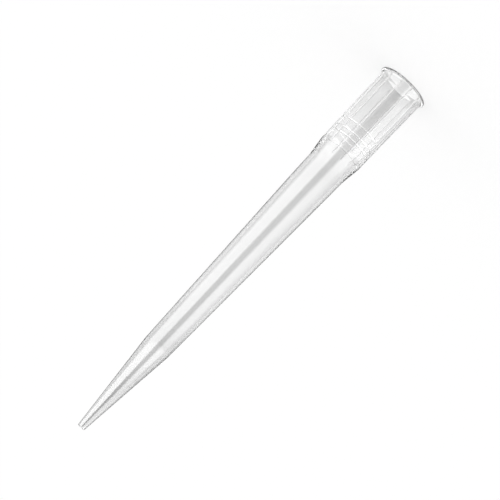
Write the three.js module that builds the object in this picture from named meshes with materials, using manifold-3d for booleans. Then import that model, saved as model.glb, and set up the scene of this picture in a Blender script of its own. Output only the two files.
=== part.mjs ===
// A pipette tip for 1000 microlitre pipettes, moulded in one piece from clear polypropylene.
// Units are millimetres. The tip stands on its wide rim at z = 0 with its nose pointing up, and
// every height and depth below is measured from the rim along +Z, the axis of the tip.
import * as THREE from "three";
import { mergeVertices } from "three/addons/utils/BufferGeometryUtils.js";
import Module from "manifold-3d";

// Lengths along the axis, from the rim to the nose.
const OVERALL_LENGTH = 75;
const RIM_THICKNESS = 0.3;
const FLARE_LENGTH = 0.65; // the hollow curve from the rim to the collar
const COLLAR_LENGTH = 15.1; // from the rim to the corner where the shoulder begins
const SHOULDER_LENGTH = 3.1; // the cone from the collar to the body
const NOSE_LENGTH = 17.1; // the steeper end, beyond the knee

// Bore: these are the sizes of the core pin, and the nozzle and the sample set them.
const SOCKET_MOUTH_DIAMETER = 6.98;
const SOCKET_SEAT_DIAMETER = 6.68;
const BODY_BORE_DIAMETER = 5.76; // where the body begins
const KNEE_BORE_DIAMETER = 3.44;
const ORIFICE_DIAMETER = 0.72;
const LEAD_IN_DEPTH = 1.7; // the funnel that guides a nozzle into the socket
const LEAD_IN_WIDENING = 0.3; // how much wider the funnel is at the rim, on each side
const SEAT_BEYOND_COLLAR = 0.2; // the ledge that ends the socket, past the collar's corner
const LEDGE_WIDTH = 0.34;
const BORE_KNEE_LAG = 0.5; // the bore turns steeper this far beyond the outer knee

// Walls: the outside follows the bore at these distances.
const COLLAR_WALL = 0.58;
const RIM_OVERHANG = 0.38; // how far the rim stands out past the collar
const BODY_WALL = 0.62;
const NOSE_END_WALL = 0.28;

// Low beads round the socket, which grip and seal on the nozzle, by their distances from the ledge.
const BEAD_DISTANCES = [4.7, 3.1, 2.1];
const BEAD_WIDTH = 0.28;
const BEAD_HEIGHT = 0.08;

// Ribs along the outside of the collar, which stiffen it.
const RIB_COUNT = 12;
const RIB_WIDTH = 0.36;
const RIB_HEIGHT = 0.06;
const RIB_END_MARGIN = 0.35; // bare collar between a rib's end and the shoulder's corner

// Radii of the rounded corners.
const RIM_EDGE_ROUND = 0.08;
const MOUTH_EDGE_ROUND = 0.12;
const COLLAR_CORNER_ROUND = 6;
const BODY_CORNER_ROUND = 9;
const NOSE_EDGE_ROUND = 0.1;

// How finely the round forms are divided.
const TURN_SEGMENTS = 72;
const CURVE_SEGMENTS = 4;
const RIB_SEGMENTS = 24;

const CORE_OVERRUN = 1; // how far the core runs past both ends, so that it cuts them open

// Heights and diameters that follow from the sizes above.
const flareEndHeight = RIM_THICKNESS + FLARE_LENGTH;
const seatDepth = COLLAR_LENGTH + SEAT_BEYOND_COLLAR;
const bodyStart = COLLAR_LENGTH + SHOULDER_LENGTH;
const kneeHeight = OVERALL_LENGTH - NOSE_LENGTH;
const collarRimDiameter = SOCKET_MOUTH_DIAMETER + 2 * COLLAR_WALL;
const collarRootDiameter = SOCKET_SEAT_DIAMETER + 2 * COLLAR_WALL;

const wasm = await Module();
wasm.setup();

// A closed three.js geometry as a manifold-3d solid.
function toSolid(geometry) {
  const bare = geometry.clone();
  bare.deleteAttribute("normal");
  bare.deleteAttribute("uv");
  const merged = mergeVertices(bare, 1e-4);
  const mesh = new wasm.Mesh({
    numProp: 3,
    vertProperties: merged.attributes.position.array,
    triVerts: new Uint32Array(merged.index.array),
  });
  return new wasm.Manifold(mesh);
}

// A manifold-3d solid as a three.js geometry with one normal for each face.
function toGeometry(solid) {
  const mesh = solid.getMesh();
  const shared = new THREE.BufferGeometry();
  shared.setAttribute("position", new THREE.BufferAttribute(mesh.vertProperties, 3));
  shared.setIndex(new THREE.BufferAttribute(mesh.triVerts, 1));
  const faceted = shared.toNonIndexed();
  faceted.computeVertexNormals();
  return faceted;
}

// A point of a section: half the diameter out from the axis, and the height.
const at = (diameter, height) => new THREE.Vector2(diameter / 2, height);

// Draws a path on to a corner and rounds it by a curve that is tangent to both of its sides,
// reaching no further than halfway along either.
function roundTo(path, corner, next, round) {
  const arriving = corner.clone().sub(path.currentPoint);
  const leaving = next.clone().sub(corner);
  const reach = Math.min(
    round * Math.tan(arriving.angleTo(leaving) / 2),
    arriving.length() / 2,
    leaving.length() / 2,
  );
  const before = corner.clone().addScaledVector(arriving.normalize(), -reach);
  const after = corner.clone().addScaledVector(leaving.normalize(), reach);
  path.lineTo(before.x, before.y);
  path.quadraticCurveTo(corner.x, corner.y, after.x, after.y);
}

// A section turned once round the axis. The lathe turns about y, so the result is stood up.
function turned(section) {
  const geometry = new THREE.LatheGeometry(section.getPoints(CURVE_SEGMENTS), TURN_SEGMENTS);
  geometry.rotateX(Math.PI / 2);
  return toSolid(geometry);
}

// The outside, as if the tip were solid: flat rim, hollow flare, collar, shoulder, body and nose.
function outerForm() {
  const rimDiameter = collarRimDiameter + 2 * RIM_OVERHANG;
  const rimFoot = at(rimDiameter, 0);
  const rimBack = at(rimDiameter, RIM_THICKNESS);
  const flareCorner = at(collarRimDiameter, RIM_THICKNESS);
  const collarRim = at(collarRimDiameter, flareEndHeight);
  const collarRoot = at(collarRootDiameter, COLLAR_LENGTH);
  const bodyRoot = at(BODY_BORE_DIAMETER + 2 * BODY_WALL, bodyStart);
  const knee = at(KNEE_BORE_DIAMETER + 2 * BODY_WALL, kneeHeight);
  const noseEnd = at(ORIFICE_DIAMETER + 2 * NOSE_END_WALL, OVERALL_LENGTH);
  const noseCentre = at(0, OVERALL_LENGTH);

  const section = new THREE.Path();
  section.moveTo(0, 0);
  roundTo(section, rimFoot, rimBack, RIM_EDGE_ROUND);
  roundTo(section, rimBack, flareCorner, RIM_EDGE_ROUND);
  section.quadraticCurveTo(flareCorner.x, flareCorner.y, collarRim.x, collarRim.y);
  roundTo(section, collarRoot, bodyRoot, COLLAR_CORNER_ROUND);
  roundTo(section, bodyRoot, knee, BODY_CORNER_ROUND);
  section.lineTo(knee.x, knee.y);
  roundTo(section, noseEnd, noseCentre, NOSE_EDGE_ROUND);
  section.lineTo(noseCentre.x, noseCentre.y);
  return turned(section);
}

// The radius of the plain socket wall, which narrows evenly from its mouth to the ledge.
function socketRadius(depth) {
  const share = (depth - LEAD_IN_DEPTH) / (seatDepth - LEAD_IN_DEPTH);
  return THREE.MathUtils.lerp(SOCKET_MOUTH_DIAMETER, SOCKET_SEAT_DIAMETER, share) / 2;
}

// The hollow: lead-in, socket, ledge, throat, and a bore that narrows to the knee and from there
// to the orifice. Each sealing bead is a shallow groove round this core.
function core() {
  const mouth = at(SOCKET_MOUTH_DIAMETER + 2 * LEAD_IN_WIDENING, 0);
  const mouthEdge = mouth.x + MOUTH_EDGE_ROUND;
  const topHeight = OVERALL_LENGTH + CORE_OVERRUN;

  const section = new THREE.Path();
  section.moveTo(0, -CORE_OVERRUN);
  section.lineTo(mouthEdge, -CORE_OVERRUN);
  section.lineTo(mouthEdge, 0);
  section.quadraticCurveTo(mouth.x, 0, mouth.x, MOUTH_EDGE_ROUND);
  section.lineTo(socketRadius(LEAD_IN_DEPTH), LEAD_IN_DEPTH);
  for (const distance of BEAD_DISTANCES) {
    const middle = seatDepth - distance;
    const near = middle - BEAD_WIDTH / 2;
    const far = middle + BEAD_WIDTH / 2;
    section.lineTo(socketRadius(near), near);
    section.quadraticCurveTo(
      socketRadius(middle) - 2 * BEAD_HEIGHT,
      middle,
      socketRadius(far),
      far,
    );
  }
  section.lineTo(socketRadius(seatDepth), seatDepth);
  section.lineTo(socketRadius(seatDepth) - LEDGE_WIDTH, seatDepth);
  section.lineTo(BODY_BORE_DIAMETER / 2, bodyStart);
  section.lineTo(KNEE_BORE_DIAMETER / 2, kneeHeight + BORE_KNEE_LAG);
  section.lineTo(ORIFICE_DIAMETER / 2, OVERALL_LENGTH);
  section.lineTo(ORIFICE_DIAMETER / 2, topHeight);
  section.lineTo(0, topHeight);
  return turned(section);
}

// One rib: a round-ended rod laid along the side of the collar and sunk into it until only its
// crown shows. Its radius is that of the arc with the rib's width as chord and height as rise.
function rib(turn) {
  const radius = (RIB_WIDTH ** 2 / 4 + RIB_HEIGHT ** 2) / (2 * RIB_HEIGHT);
  const sink = radius - RIB_HEIGHT;
  const endHeight = COLLAR_LENGTH - RIB_END_MARGIN - RIB_WIDTH / 2;
  const rimEnd = new THREE.Vector3(collarRimDiameter / 2 - sink, 0, flareEndHeight);
  const rootEnd = new THREE.Vector3(collarRootDiameter / 2 - sink, 0, endHeight);
  const run = rootEnd.clone().sub(rimEnd);
  const rod = new THREE.CapsuleGeometry(radius, run.length(), CURVE_SEGMENTS, RIB_SEGMENTS);
  const alongRun = new THREE.Quaternion().setFromUnitVectors(
    new THREE.Vector3(0, 1, 0),
    run.clone().normalize(),
  );
  const middle = rimEnd.clone().lerp(rootEnd, 0.5);
  rod.applyQuaternion(alongRun);
  rod.translate(middle.x, middle.y, middle.z);
  rod.rotateZ(turn);
  return toSolid(rod);
}

// The ribs stand evenly round the collar, with half a space on each side of the X axis.
function ribs() {
  const pitch = (2 * Math.PI) / RIB_COUNT;
  const all = Array.from({ length: RIB_COUNT }, (_, index) => rib((index + 0.5) * pitch));
  return all.reduce((joined, next) => joined.add(next));
}

const polypropylene = new THREE.MeshStandardMaterial({
  name: "clear polypropylene",
  color: 0xeef1f1,
  roughness: 0.2,
  metalness: 0,
  transparent: true,
  opacity: 0.45,
});

// The ribs join the full outside before the core is cut, so they never reach into the bore.
const moulding = outerForm().add(ribs()).subtract(core());
const tip = new THREE.Mesh(toGeometry(moulding), polypropylene);
tip.name = "pipette_tip";

const part = new THREE.Group();
part.add(tip);

export default part;
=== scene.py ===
# %% [markdown]
# # A clear pipette tip, moulded in one piece
#
# The tip is one thin wall of polypropylene turned about an axis. Most of what is seen on it comes
# from how that clear wall bends and mirrors what is round it: the dark lines are where the wall
# stands edge-on, the bright panels are two softboxes mirrored in it, and the grey stripe down the
# middle is the gap between them. The thin white lines on the collar's ribs are painted highlights,
# and a darker band at the body's root is painted shade. So the lesson has three parts: a wall with
# a true inside and outside, a plastic for it, and a studio for the plastic to bend.

# %% Load the frame that the looks are built on
import math

import bpy
import numpy as np
from mathutils import Matrix, Vector


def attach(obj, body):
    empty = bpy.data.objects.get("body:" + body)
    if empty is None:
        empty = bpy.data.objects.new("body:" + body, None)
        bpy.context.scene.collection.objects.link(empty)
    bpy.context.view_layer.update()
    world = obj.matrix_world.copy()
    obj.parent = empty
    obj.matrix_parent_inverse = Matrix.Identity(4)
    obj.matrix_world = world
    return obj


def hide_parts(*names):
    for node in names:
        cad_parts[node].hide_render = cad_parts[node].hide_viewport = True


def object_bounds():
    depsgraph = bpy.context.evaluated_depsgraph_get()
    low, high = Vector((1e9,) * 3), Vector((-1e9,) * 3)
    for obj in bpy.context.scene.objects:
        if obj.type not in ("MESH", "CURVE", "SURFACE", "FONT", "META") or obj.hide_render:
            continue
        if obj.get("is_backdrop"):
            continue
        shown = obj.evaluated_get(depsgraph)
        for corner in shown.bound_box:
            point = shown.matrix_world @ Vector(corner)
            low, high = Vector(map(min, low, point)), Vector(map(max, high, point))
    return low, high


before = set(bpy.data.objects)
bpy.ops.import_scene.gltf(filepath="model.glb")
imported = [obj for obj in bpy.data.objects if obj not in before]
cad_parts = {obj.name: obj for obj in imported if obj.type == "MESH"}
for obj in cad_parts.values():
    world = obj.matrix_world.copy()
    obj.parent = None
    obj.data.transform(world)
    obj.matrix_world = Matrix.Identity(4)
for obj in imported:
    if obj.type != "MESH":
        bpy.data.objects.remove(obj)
cad_low, cad_high = (corner.copy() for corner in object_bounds())
print("CAD box, mm:", [round(1000 * side, 3) for side in cad_high - cad_low])

# %% [markdown]
# The sizes are those of the mould, in millimetres. Blender works in metres, so every point is
# multiplied by MM once, when a mesh is made.

# %% The sizes of the moulding
MM = 0.001
OVERALL_LENGTH = 75
RIM_THICKNESS = 0.3
FLARE_LENGTH = 0.65
COLLAR_LENGTH = 15.1
SHOULDER_LENGTH = 3.1
NOSE_LENGTH = 17.1

SOCKET_MOUTH_RADIUS = 3.49
SOCKET_SEAT_RADIUS = 3.34
BODY_BORE_RADIUS = 2.88
KNEE_BORE_RADIUS = 1.72
ORIFICE_RADIUS = 0.36
LEAD_IN_DEPTH = 1.7
LEAD_IN_WIDENING = 0.3
SEAT_BEYOND_COLLAR = 0.2
LEDGE_WIDTH = 0.34
BORE_KNEE_LAG = 0.5

COLLAR_WALL = 0.58
RIM_OVERHANG = 0.38
BODY_WALL = 0.62
NOSE_END_WALL = 0.28

BEAD_DISTANCES = (4.7, 3.1, 2.1)
BEAD_WIDTH = 0.28
BEAD_HEIGHT = 0.08

RIB_COUNT = 12
RIB_WIDTH = 0.36
RIB_HEIGHT = 0.06
RIB_END_MARGIN = 0.35

collar_rim_radius = SOCKET_MOUTH_RADIUS + COLLAR_WALL
collar_root_radius = SOCKET_SEAT_RADIUS + COLLAR_WALL
rim_radius = collar_rim_radius + RIM_OVERHANG
body_start = COLLAR_LENGTH + SHOULDER_LENGTH
seat_depth = COLLAR_LENGTH + SEAT_BEYOND_COLLAR
knee_height = OVERALL_LENGTH - NOSE_LENGTH

# %% [markdown]
# ## The wall
#
# A moulded tip is a turned form, so it is described by its section: a closed outline up the
# outside, over the nose's end and down the bore. A lathe modifier on a drawn profile would do, but
# a section worked out from its corners keeps every rounding a true size, and clear plastic shows
# each one as a bright or dark ring.


# %% Round the corners of a section
STEPS_PER_ROUNDING = 4
LARGEST_SHARE = 0.45  # a rounding takes no more of a side, so two of them never meet


def rounded_section(corners):
    """A closed section from corners (radius, height, rounding, steps to the next corner).

    Each corner P becomes the curve (1-t)^2 A + 2t(1-t) P + t^2 B. It leaves one side at A and meets
    the other at B, both at a distance rounding * tan(turn / 2) from P. Along the straight side
    after it the points crowd towards both ends, as (1 - cos(pi s)) / 2.
    """
    points = np.array([corner[:2] for corner in corners], float)
    rounding = np.array([corner[2] for corner in corners])
    arriving = points - np.roll(points, 1, axis=0)
    leaving = np.roll(points, -1, axis=0) - points
    length_before = np.linalg.norm(arriving, axis=1)
    length_after = np.linalg.norm(leaving, axis=1)
    arriving /= length_before[:, None]
    leaving /= length_after[:, None]
    turn = np.arccos(np.clip((arriving * leaving).sum(axis=1), -1, 1))
    longest = LARGEST_SHARE * np.minimum(length_before, length_after)
    reach = np.minimum(rounding * np.tan(turn / 2), longest)[:, None]
    starts = points - arriving * reach
    ends = points + leaving * reach
    next_starts = np.roll(starts, -1, axis=0)
    t = np.linspace(0, 1, STEPS_PER_ROUNDING + 1)[:, None]
    stretches = []
    for point, start, end, next_start, corner in zip(points, starts, ends, next_starts, corners):
        stretches.append((1 - t) ** 2 * start + 2 * t * (1 - t) * point + t**2 * end)
        s = (1 - np.cos(np.pi * np.arange(1, corner[3]) / corner[3]))[:, None] / 2
        stretches.append(end * (1 - s) + next_start * s)
    return np.concatenate(stretches)


# %% [markdown]
# The outside has a flat rim, a hollow flare, the collar, the shoulder cone, the long body and the
# steeper nose. The last number of each corner is how many rows of mesh follow it: many along the
# collar, where the ribs need them, and few where the wall is straight.

# %% The corners up the outside
RIM_EDGE_ROUND = 0.08
FLARE_ROUND = 0.55
COLLAR_RIM_ROUND = 0.3
COLLAR_CORNER_ROUND = 6
BODY_CORNER_ROUND = 9
KNEE_ROUND = 3
NOSE_EDGE_ROUND = 0.1

outside = [
    (rim_radius, 0, RIM_EDGE_ROUND, 2),
    (rim_radius, RIM_THICKNESS, RIM_EDGE_ROUND, 2),
    (collar_rim_radius, RIM_THICKNESS, FLARE_ROUND, 2),
    (collar_rim_radius, RIM_THICKNESS + FLARE_LENGTH, COLLAR_RIM_ROUND, 36),
    (collar_root_radius, COLLAR_LENGTH, COLLAR_CORNER_ROUND, 6),
    (BODY_BORE_RADIUS + BODY_WALL, body_start, BODY_CORNER_ROUND, 26),
    (KNEE_BORE_RADIUS + BODY_WALL, knee_height, KNEE_ROUND, 14),
    (ORIFICE_RADIUS + NOSE_END_WALL, OVERALL_LENGTH, NOSE_EDGE_ROUND, 2),
]
print("outside:", len(outside), "corners")

# %% [markdown]
# The bore runs back from the orifice to the ledge that ends the socket. Three low beads grip the
# pipette's nozzle, and a short funnel leads it in.


# %% The corners down the bore
ORIFICE_EDGE_ROUND = 0.04
BORE_KNEE_ROUND = 1.5
BORE_ROOT_ROUND = 3
LEDGE_ROUND = 0.06
BEAD_FOOT_ROUND = 0.04
BEAD_CROWN_ROUND = 0.12
LEAD_IN_ROUND = 0.4
MOUTH_EDGE_ROUND = 0.12


def socket_radius(depth):
    """The plain socket wall, straight from the lead-in to the seat."""
    share = (depth - LEAD_IN_DEPTH) / (seat_depth - LEAD_IN_DEPTH)
    return SOCKET_MOUTH_RADIUS + (SOCKET_SEAT_RADIUS - SOCKET_MOUTH_RADIUS) * share


def bead_corners(distance):
    """A bead's far foot, crown and near foot. Rounding takes back a third of the crown's rise."""
    middle = seat_depth - distance
    half = BEAD_WIDTH / 2
    return [
        (socket_radius(middle + half), middle + half, BEAD_FOOT_ROUND, 1),
        (socket_radius(middle) - 1.5 * BEAD_HEIGHT, middle, BEAD_CROWN_ROUND, 1),
        (socket_radius(middle - half), middle - half, BEAD_FOOT_ROUND, 6),
    ]


bore = [
    (ORIFICE_RADIUS, OVERALL_LENGTH, ORIFICE_EDGE_ROUND, 14),
    (KNEE_BORE_RADIUS, knee_height + BORE_KNEE_LAG, BORE_KNEE_ROUND, 26),
    (BODY_BORE_RADIUS, body_start, BORE_ROOT_ROUND, 5),
    (SOCKET_SEAT_RADIUS - LEDGE_WIDTH, seat_depth, LEDGE_ROUND, 2),
    (SOCKET_SEAT_RADIUS, seat_depth, LEDGE_ROUND, 5),
]
for distance in reversed(BEAD_DISTANCES):
    bore += bead_corners(distance)
bore += [
    (SOCKET_MOUTH_RADIUS, LEAD_IN_DEPTH, LEAD_IN_ROUND, 5),
    (SOCKET_MOUTH_RADIUS + LEAD_IN_WIDENING, 0, MOUTH_EDGE_ROUND, 3),
]
section = rounded_section(outside + bore)
print("section:", len(section), "points,", len(outside) + len(bore), "corners")

# %% [markdown]
# Twelve low ribs stiffen the collar. They could be separate rods joined by a boolean, but a join
# leaves slivers that glitter in clear plastic. Lifting the collar's own skin along each rib keeps
# the wall one smooth surface, and the mesh's columns crowd at the ribs to draw them sharply.

# %% Lift the collar's skin along its ribs
RIB_PITCH = 2 * math.pi / RIB_COUNT


def distance_from_rib(angle, radius):
    """Millimetres round the collar from the middle of the nearest rib."""
    return (angle % RIB_PITCH - RIB_PITCH / 2) * radius


def rib_rise(angle, height):
    """How far a rib lifts the skin: RIB_HEIGHT * (1 + cos(pi x)) / 2, x in half widths.

    The rise fades to nothing over half a width at the end by the shoulder, as a quarter circle
    does, and over the flare at the other end, as a straight ramp.
    """
    x = np.clip(distance_from_rib(angle, collar_rim_radius) / (RIB_WIDTH / 2), -1, 1)
    to_end = np.clip((COLLAR_LENGTH - RIB_END_MARGIN - height) / (RIB_WIDTH / 2), 0, 1)
    to_rim = np.clip((height - RIM_THICKNESS) / (FLARE_LENGTH / 2), 0, 1)
    return RIB_HEIGHT * (1 + np.cos(np.pi * x)) / 2 * np.sqrt(1 - (1 - to_end) ** 2) * to_rim


STEPS_ACROSS_RIB = 16
STEPS_BETWEEN_RIBS = 6
FINE_HALF_WIDTH = 0.55 * RIB_WIDTH  # a little past a rib's foot, so that the foot is drawn too


def column_angles():
    """Angles of the mesh's columns: fine steps across each rib, and coarse steps between ribs."""
    half = FINE_HALF_WIDTH / collar_rim_radius
    across = np.linspace(-half, half, STEPS_ACROSS_RIB + 1)[:-1]
    between = np.linspace(half, RIB_PITCH - half, STEPS_BETWEEN_RIBS + 1)[:-1]
    middles = RIB_PITCH * (np.arange(RIB_COUNT) + 0.5)
    return (middles[:, None] + np.concatenate([across, between])).ravel()


angles = column_angles()
print("columns:", len(angles))

# %% [markdown]
# The wall is the section carried once round the axis. Its points are a grid, with a row for each
# point of the section and a column for each angle. The grid closes on itself both ways, so the
# wall is one closed skin round a hollow that is open at both ends, with no seam and no pole.


# %% Turn the section into the wall
def turned_points(rows, angles, outer_rows):
    """Point (i, j) has row i's radius and height and column j's angle, in millimetres.

    The first outer_rows rows are the outside, and the ribs add their rise to the radius there.
    """
    is_outer = (np.arange(len(rows)) < outer_rows)[:, None]
    radius = rows[:, :1] + rib_rise(angles, rows[:, 1:]) * is_outer
    height = np.broadcast_to(rows[:, 1:], radius.shape)
    return np.stack([radius * np.cos(angles), radius * np.sin(angles), height], axis=-1)


def ring_quads(row_count, column_count):
    """One quad for each cell of a grid that closes on itself both ways, its front outwards."""
    row, column = np.indices((row_count, column_count))
    next_row = (row + 1) % row_count
    next_column = (column + 1) % column_count
    cells = [(row, column), (row, next_column), (next_row, next_column), (next_row, column)]
    return np.stack([r * column_count + c for r, c in cells], axis=-1).reshape(-1, 4)


outer_rows = len(rounded_section(outside))  # the outside comes first in the section
points = turned_points(section, angles, outer_rows)
quads = ring_quads(len(section), len(angles))
wall = bpy.data.meshes.new("pipette_tip_wall")
wall.from_pydata((points * MM).reshape(-1, 3).tolist(), [], quads.tolist())
wall.shade_smooth()
tip = bpy.data.objects.new("pipette_tip_wall", wall)
bpy.context.scene.collection.objects.link(tip)
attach(tip, "root")
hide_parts("pipette_tip")
print("wall:", len(section), "rows,", len(angles), "columns,", 2 * len(quads), "triangles")

# %% [markdown]
# ## The plastic
#
# Polypropylene moulded against a polished steel pin is glass-clear at this thickness, with an
# index near 1.49 and a gloss that is not quite a mirror's. What is left of its haze shows as a
# light grey, which along the tip is darker at the mouth and all along the nose, whose wall is thick
# for its width, and lightest over the collar. A darker band at the body's root is painted shade for
# the corner where the body starts. The materials need three helpers, for a colour, for a node and
# for a ramp's stops.


# %% Helpers for colours and nodes
def linear(hex_colour):
    """An sRGB hex colour as linear red, green and blue, with full alpha."""
    srgb = np.array([int(hex_colour[k : k + 2], 16) for k in (1, 3, 5)]) / 255
    value = np.where(srgb <= 0.04045, srgb / 12.92, ((srgb + 0.055) / 1.055) ** 2.4)
    return (*value.tolist(), 1.0)


def add_node(tree, kind, inputs=(), **settings):
    """Adds a node. An input is (socket, value), and a value that is a socket becomes a link."""
    node = tree.nodes.new("ShaderNode" + kind)
    for name, value in settings.items():
        setattr(node, name, value)
    for socket, value in inputs:
        if isinstance(value, bpy.types.NodeSocket):
            tree.links.new(value, node.inputs[socket])
        else:
            node.inputs[socket].default_value = value
    return node


def set_stops(ramp_node, stops):
    """Gives a colour ramp its stops, each a position from 0 to 1 and a linear colour."""
    elements = ramp_node.color_ramp.elements
    for _ in range(len(stops) - len(elements)):
        elements.new(1.0)
    for element, (position, colour) in zip(elements, stops):
        element.position = position
        element.color = colour


# %% [markdown]
# Clear plastic could be a glass shader. The principled one is used because it can add a coat, a
# thin skin that mirrors more than the plastic under it. The coat stands for the gloss that the
# polished mould presses on, and its index is set above the plastic's own, so that the softboxes
# mirrored in the wall read as bright panels. The greys are given by height in millimetres.

# %% Clear moulded polypropylene
# Greys along the tip; the darker grey at 19 mm is painted shade, for the corner where the body
# starts.
GREYS_AND_PAINTED_SHADE_BY_HEIGHT = (
    (0, "#DCDCDC"),
    (1.1, "#DFDFDF"),
    (2.3, "#E7E7E7"),
    (6.5, "#E7E7E7"),
    (10, "#EEEEEE"),
    (16.5, "#F0F0F0"),
    (19, "#E8E8E8"),
    (23.5, "#EBEBEB"),
    (43, "#EBEBEB"),
    (56, "#E8E8E8"),
    (75, "#E6E6E6"),
)


def moulded_polypropylene(name, clearness, greys):
    """One principled shader. Its base colour is one grey, or a ramp of greys along the tip."""
    material = bpy.data.materials.new(name)
    material.use_nodes = True
    tree = material.node_tree
    tree.nodes.clear()
    shader = add_node(
        tree,
        "BsdfPrincipled",
        [
            ("Base Color", linear(greys[0][1])),
            ("Roughness", 0.05),
            ("IOR", 1.49),
            ("Transmission Weight", clearness),
            ("Coat Weight", 1.0),
            ("Coat Roughness", 0.03),
            ("Coat IOR", 1.7),
        ],
    )
    add_node(tree, "OutputMaterial", [("Surface", shader.outputs["BSDF"])])
    if len(greys) > 1:
        place = add_node(tree, "TexCoord").outputs["Object"]
        height = add_node(tree, "SeparateXYZ", [("Vector", place)]).outputs["Z"]
        top = ("From Max", OVERALL_LENGTH * MM)
        along = add_node(tree, "MapRange", [("Value", height), top]).outputs["Result"]
        ramp = add_node(tree, "ValToRGB", [("Fac", along)])
        set_stops(ramp, [(z / OVERALL_LENGTH, linear(colour)) for z, colour in greys])
        tree.links.new(ramp.outputs["Color"], shader.inputs["Base Color"])
    return material


clear = moulded_polypropylene("clear moulded polypropylene", 1.0, GREYS_AND_PAINTED_SHADE_BY_HEIGHT)
wall.materials.append(clear)
print("material:", clear.name, "with", len(GREYS_AND_PAINTED_SHADE_BY_HEIGHT), "greys along the tip")

# %% [markdown]
# The thin white lines that run along the collar are painted highlights. The crown of each rib is
# the thickest place of the collar and catches the light as it bends and mirrors it; a second
# material, near-white and less clear, is painted on the faces of the outside that lie near the
# middle of a rib to stand in for that highlight.

# %% Painted highlights on the crowns of the ribs
PAINTED_HIGHLIGHT_HALF_WIDTH = 0.1

# A near-white plastic that lets only part of the light through: the painted highlight on the rib
# crowns.
painted_rib_highlight = moulded_polypropylene("milky moulded polypropylene", 0.3, [(0, "#FCFCFC")])
wall.materials.append(painted_rib_highlight)
middles = points.reshape(-1, 3)[quads].mean(axis=1)
face_angle = np.arctan2(middles[:, 1], middles[:, 0])
off_rib = np.abs(distance_from_rib(face_angle, np.hypot(middles[:, 0], middles[:, 1])))
face_row = np.repeat(np.arange(len(section)), len(angles))
# The faces near the middle of a rib, which get the painted highlight.
on_painted_highlight = (
    (off_rib < PAINTED_HIGHLIGHT_HALF_WIDTH)
    & (face_row < outer_rows - 1)
    & (middles[:, 2] > RIM_THICKNESS + FLARE_LENGTH / 2)
    & (middles[:, 2] < COLLAR_LENGTH - RIB_END_MARGIN)
)
wall.polygons.foreach_set("material_index", on_painted_highlight.astype(np.int32))
print("milky faces:", int(on_painted_highlight.sum()))

# %% [markdown]
# ## The studio
#
# The floor is a wide matt sheet, which shows white to the camera and keeps the tip's soft shadow.
# The sheet is a mid grey, which the even light brings to just under half of white, and a glow that
# only the camera sees adds the rest. So the shadow takes away only part of the white. The floor is
# left out of what the plastic mirrors and lets through, because the studio gives the plastic its
# own surround in every direction.

# %% A pale floor
FLOOR_HALF = 3.0  # metres
PAPER_GREY = "#BCBCBC"
GLOW_FOR_CAMERA = 0.54

floor_mesh = bpy.data.meshes.new("floor")
corner_signs = ((-1, -1), (1, -1), (1, 1), (-1, 1))
floor_corners = [(x * FLOOR_HALF, y * FLOOR_HALF, 0) for x, y in corner_signs]
floor_mesh.from_pydata(floor_corners, [], [(0, 1, 2, 3)])
floor = bpy.data.objects.new("floor", floor_mesh)
bpy.context.scene.collection.objects.link(floor)
floor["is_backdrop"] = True
floor.visible_glossy = False
floor.visible_transmission = False

paper = bpy.data.materials.new("matt white paper")
paper.use_nodes = True
tree = paper.node_tree
tree.nodes.clear()
by_camera = add_node(tree, "LightPath").outputs["Is Camera Ray"]
sheet = add_node(tree, "BsdfDiffuse", [("Color", linear(PAPER_GREY))])
lift = add_node(tree, "Math", [(0, by_camera), (1, GLOW_FOR_CAMERA)], operation="MULTIPLY")
glow = add_node(tree, "Emission", [("Strength", lift.outputs["Value"])])
both = add_node(tree, "AddShader", [(0, sheet.outputs["BSDF"]), (1, glow.outputs["Emission"])])
add_node(tree, "OutputMaterial", [("Surface", both.outputs["Shader"])])
floor_mesh.materials.append(paper)
print("floor:", 2 * FLOOR_HALF, "m wide")

# %% [markdown]
# The studio is the world, seen by the kind of ray. Matt surfaces are lit by an even level just
# under 1, so a colour comes out about as it is written, and the camera sees plain white. The rest
# is what clear plastic needs: things to mirror and things to bend. It is built from rings, each a
# level for every direction round the tip, and from heights above or below the horizon. The world's
# own map of where its light comes from is turned off, because one map can't serve every kind of
# ray.

# %% Directions round the tip and above it
CAMERA_AZIMUTH = 2.85

world = bpy.data.worlds.new("studio")
bpy.context.scene.world = world
world.use_nodes = True
world.cycles.sampling_method = "NONE"
tree = world.node_tree
tree.nodes.clear()
direction = add_node(tree, "TexCoord").outputs["Generated"]
upward = add_node(tree, "SeparateXYZ", [("Vector", direction)]).outputs["Z"]
to_front = (0, 0, math.radians(90 - CAMERA_AZIMUTH))
turned = add_node(
    tree, "Mapping", [("Vector", direction), ("Rotation", to_front)], vector_type="VECTOR"
)
share_of_turn = add_node(
    tree, "TexGradient", [("Vector", turned.outputs["Vector"])], gradient_type="RADIAL"
)


def ring(edges, levels):
    """Levels round the tip. Angles are in degrees from the camera, from -180 to 180.

    Each edge is an angle and a softness, across which the level before it changes evenly into the
    level after it. The levels are divided by the greatest, because a ramp holds 0 to 1.
    """
    greatest = max(levels)
    stops = []
    for (angle, softness), before, after in zip(edges, levels, levels[1:]):
        for side, level in ((-1, before), (1, after)):
            position = (angle + side * softness / 2) / 360 + 0.5
            stops.append((position, (*[level / greatest] * 3, 1)))
    ramp = add_node(tree, "ValToRGB", [("Fac", share_of_turn.outputs["Fac"])])
    set_stops(ramp, stops)
    scaled = add_node(
        tree, "VectorMath", [(0, ramp.outputs["Color"]), ("Scale", greatest)], operation="SCALE"
    )
    return scaled.outputs["Vector"]


def by_height(elevations, below, above):
    """Blends one surround into another between two elevations in degrees."""
    low, high = (math.sin(math.radians(elevation)) for elevation in elevations)
    share = add_node(tree, "MapRange", [("Value", upward), ("From Min", low), ("From Max", high)])
    inputs = [(0, share.outputs["Result"]), (6, below), (7, above)]
    return add_node(tree, "Mix", inputs, data_type="RGBA").outputs[2]


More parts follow.
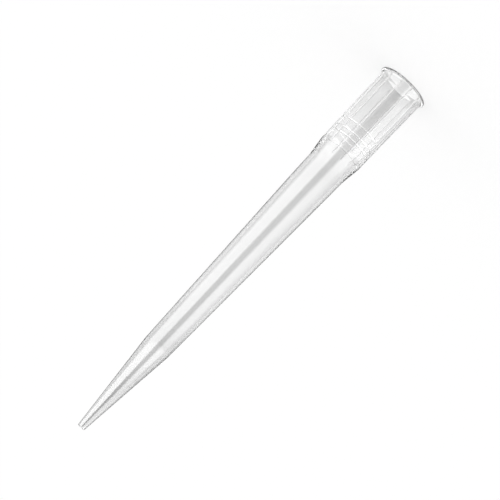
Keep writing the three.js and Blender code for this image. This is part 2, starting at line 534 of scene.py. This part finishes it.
def stacked(surround, *layers):
    """Surrounds one above another. A layer is the elevations it comes in between, and its ring."""
    for elevations, above in layers:
        surround = by_height(elevations, surround, above)
    return surround


def even(level):
    """The same level in every direction."""
    return (level, level, level, 1)


# %% [markdown]
# What the plastic mirrors is a ring of softboxes: one on each side, a dim gap between them in
# front, where the camera stands, and little behind. The gap is the grey stripe down the middle of
# the tip, and the dark back is its outline. A taper decides the height that a wall mirrors: the
# collar mirrors the table, where the right softbox is weaker and a pale top lights the back, the
# body mirrors the ring above it, and the nose mirrors the highest and strongest one. The softboxes
# are about three to five times white, because clear plastic mirrors only a small share of them.
#
# Under the table it is dark, so that the lead-in, which mirrors the ground through the open mouth,
# stays grey. Only a low pair of softboxes stands there in front, for a tip seen from above.
# Straight below it is white and the ceiling is bright, for the views from those sides.

# %% What the plastic mirrors
MIDDLE_EDGES = (
    (-136, 14),
    (-118, 8),
    (-80, 50),
    (-21, 14),
    (15, 12),
    (84, 24),
    (116, 8),
    (136, 12),
)
HIGH_EDGES = ((-123, 14), (-82, 40), (-21, 14), (15, 12), (86, 24), (136, 12))
TABLE_EDGES = ((-138, 10), (-96, 50), (-21, 14), (15, 12), (106, 50), (138, 12))

low_softboxes = ring(((-55, 30), (-21, 14), (15, 12), (55, 30)), (0.1, 3.1, 0.9, 2.5, 0.1))
ground = stacked(
    even(1.0),
    ((-55, -45), even(0.1)),
    ((-35, -33), low_softboxes),
    ((-23, -21), even(0.1)),
)
seen_in_mouth = ring(TABLE_EDGES, (0.5, 1.2, 3.1, 0.9, 2.5, 1.3, 0.9))
seen_in_collar = ring(TABLE_EDGES, (0.5, 1.3, 3.8, 0.95, 2.9, 1.6, 0.9))
seen_in_body = ring(MIDDLE_EDGES, (0.2, 0.8, 1.2, 3.6, 0.9, 3.9, 1.4, 0.8, 0.2))
seen_in_shoulder = ring(HIGH_EDGES, (0.1, 0.8, 3.6, 0.7, 3.9, 0.7, 0.1))
seen_in_nose = ring(HIGH_EDGES, (0.1, 0.8, 4.3, 0.7, 4.6, 0.7, 0.1))
ceiling = even(3.0)
mirrored_room = stacked(
    ground,
    ((-18.4, -17.8), seen_in_mouth),
    ((-16.3, -15.7), seen_in_collar),
    ((-14.1, -13.5), seen_in_body),
    ((-8.0, -7.2), seen_in_shoulder),
    ((0.5, 2.0), seen_in_nose),
    ((14, 20), ceiling),
)
print("nodes of the studio so far:", len(tree.nodes))

# %% [markdown]
# What the plastic lets through is a pale paper sweep, which rises to just under the horizon. The
# room behind it is greyer, and darkest at the back left, so the nose, which stands above the
# paper, has the darkest edges. A bright strip of wall above the room, straight behind the tip,
# puts a light into each bead and into the ledge, and the ceiling over it is dim.

# %% What the plastic lets through
paper_sweep = ring(((-120, 20), (120, 20)), (0.89, 0.7, 0.89))
room = ring(((-150, 8), (178, 3)), (0.5, 0.85, 0.5))
bright_wall = ring(((-150, 20), (150, 20)), (2.3, 1.2, 2.3))
bent_room = stacked(
    even(1.0),
    ((-55, -45), paper_sweep),
    ((-8.8, -7.8), room),
    ((3, 6), bright_wall),
    ((30, 40), even(0.5)),
)
print("nodes of the studio so far:", len(tree.nodes))

# %% [markdown]
# The world now picks a surround by the kind of ray that reaches it, which is the kind of the ray's
# last turn. A ray that smooth plastic lets through counts as glossy as well, so the mirrored
# surround is kept for rays that are glossy and not let through.

# %% Show each kind of ray its own surround
EVEN_LEVEL = 0.92

path = add_node(tree, "LightPath")
through = path.outputs["Is Transmission Ray"]
not_through = add_node(tree, "Math", [(0, 1.0), (1, through)], operation="SUBTRACT")
mirrored = add_node(
    tree,
    "Math",
    [(0, path.outputs["Is Glossy Ray"]), (1, not_through.outputs["Value"])],
    operation="MULTIPLY",
)
seen = even(EVEN_LEVEL)
for share, surround in (
    (through, bent_room),
    (mirrored.outputs["Value"], mirrored_room),
    (path.outputs["Is Camera Ray"], even(1.0)),
):
    inputs = [(0, share), (6, seen), (7, surround)]
    seen = add_node(tree, "Mix", inputs, data_type="RGBA").outputs[2]
background = add_node(tree, "Background", [("Color", seen)])
add_node(tree, "OutputWorld", [("Surface", background.outputs["Background"])])

# %% [markdown]
# ## The camera
#
# A long lens looks a little down at the tip from the front, and the camera is rolled so that the
# nose points to the lower left. It is aimed slightly beside the tip's middle, so the view needs no
# lens shift.

# %% The camera
SENSOR = 36
LENS = 164.9
DISTANCE = 360 * MM
ELEVATION = 12.1
ROLL = -136.6
MIDDLE_HEIGHT = 34.1 * MM
AIM_RIGHT, AIM_UP = 1.567 * MM, 1.873 * MM

azimuth, elevation, roll = (math.radians(angle) for angle in (CAMERA_AZIMUTH, ELEVATION, ROLL))
level_right = Vector((math.cos(azimuth), math.sin(azimuth), 0))
backward = Vector((math.sin(azimuth), -math.cos(azimuth), math.tan(elevation))).normalized()
level_up = backward.cross(level_right)
right = math.cos(roll) * level_right + math.sin(roll) * level_up
up = backward.cross(right)
place = Vector((0, 0, MIDDLE_HEIGHT)) + backward * DISTANCE
aim = Vector((0, 0, MIDDLE_HEIGHT)) - right * AIM_RIGHT - up * AIM_UP

# The same three directions again, now that the camera turns to its aim.
backward = (place - aim).normalized()
right = (right - backward * right.dot(backward)).normalized()
up = backward.cross(right)

camera_data = bpy.data.cameras.new("camera")
camera_data.sensor_width = SENSOR
camera_data.lens = LENS
camera_data.clip_start = 0.01
camera = bpy.data.objects.new("camera", camera_data)
camera.location = place
camera.rotation_mode = "QUATERNION"
camera.rotation_quaternion = Matrix((right, up, backward)).transposed().to_quaternion()
bpy.context.scene.collection.objects.link(camera)
bpy.context.scene.camera = camera
bpy.context.scene.view_settings.view_transform = "Standard"
print("camera:", LENS, "mm lens,", round(place.length / MM), "mm from the rim's middle")

# %% [markdown]
# A ray that crosses the tip meets at least four faces of the wall, and more where the wall mirrors
# it inwards or a bead bends it. A path that runs out of turns ends black, so the paths are allowed
# to be long.

# %% Long paths for light in clear plastic
bpy.context.scene.cycles.max_bounces = 24
bpy.context.scene.cycles.glossy_bounces = 16
bpy.context.scene.cycles.transmission_bounces = 16
